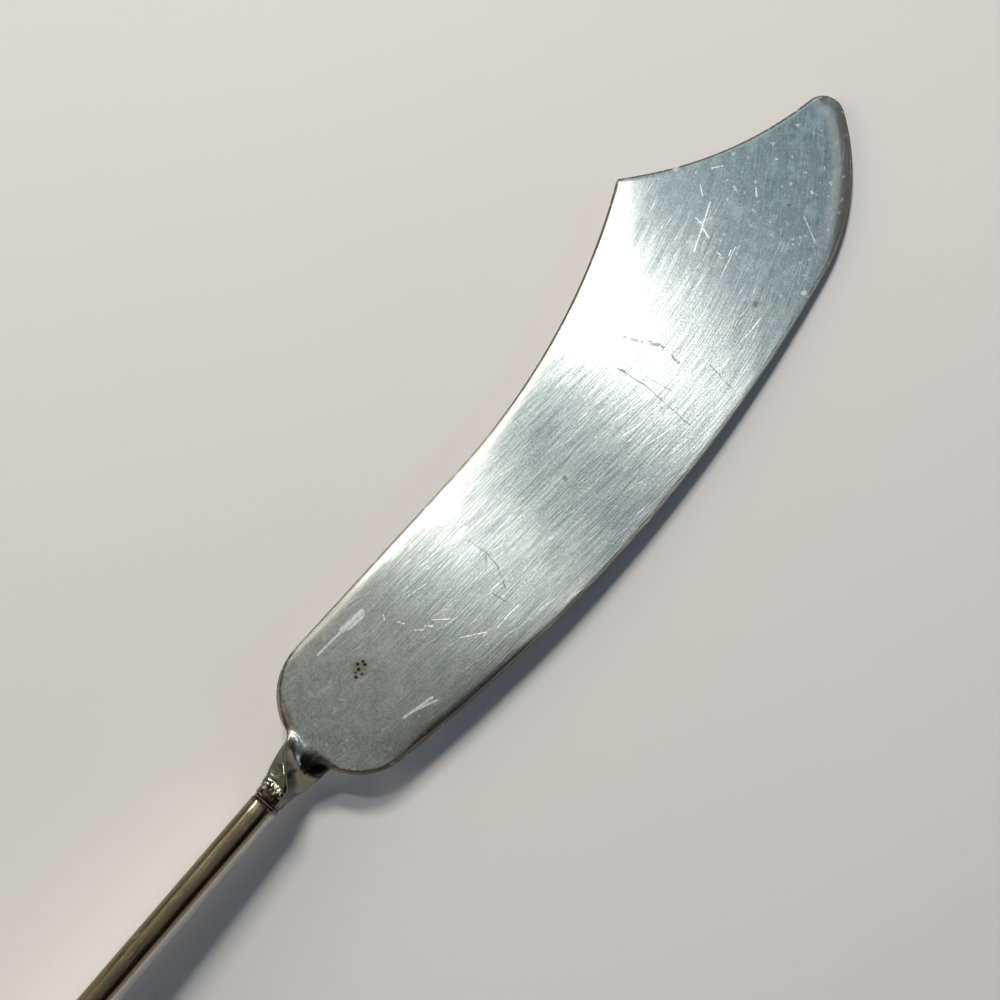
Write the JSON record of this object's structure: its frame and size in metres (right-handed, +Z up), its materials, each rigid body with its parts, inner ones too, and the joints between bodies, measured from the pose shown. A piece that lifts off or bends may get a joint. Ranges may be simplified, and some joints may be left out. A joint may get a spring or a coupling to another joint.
{
  "type": "butter knife",
  "caption": "Butter knife with a flat sabre blade, a clipped upswept tip and a neck twisted a quarter turn, so that its slim flat handle stands on edge.",
  "frame": {"origin": "middle of the knife's bounding box, on the surface that it lies on", "axes": "+X along the knife towards the blade's tip, +Y towards the hollow back of the blade, +Z up from the surface"},
  "size_m": [0.185, 0.024, 0.0164],
  "materials": {
    "silver_plate": "worn satin silver plate with fine scratches, on nickel silver",
    "hard_solder": "dull hard solder, slightly tarnished"
  },
  "bodies": {
    "root": {"blade": "silver_plate", "handle": "silver_plate", "solder_joint": "hard_solder"}
  },
  "joints": []
}
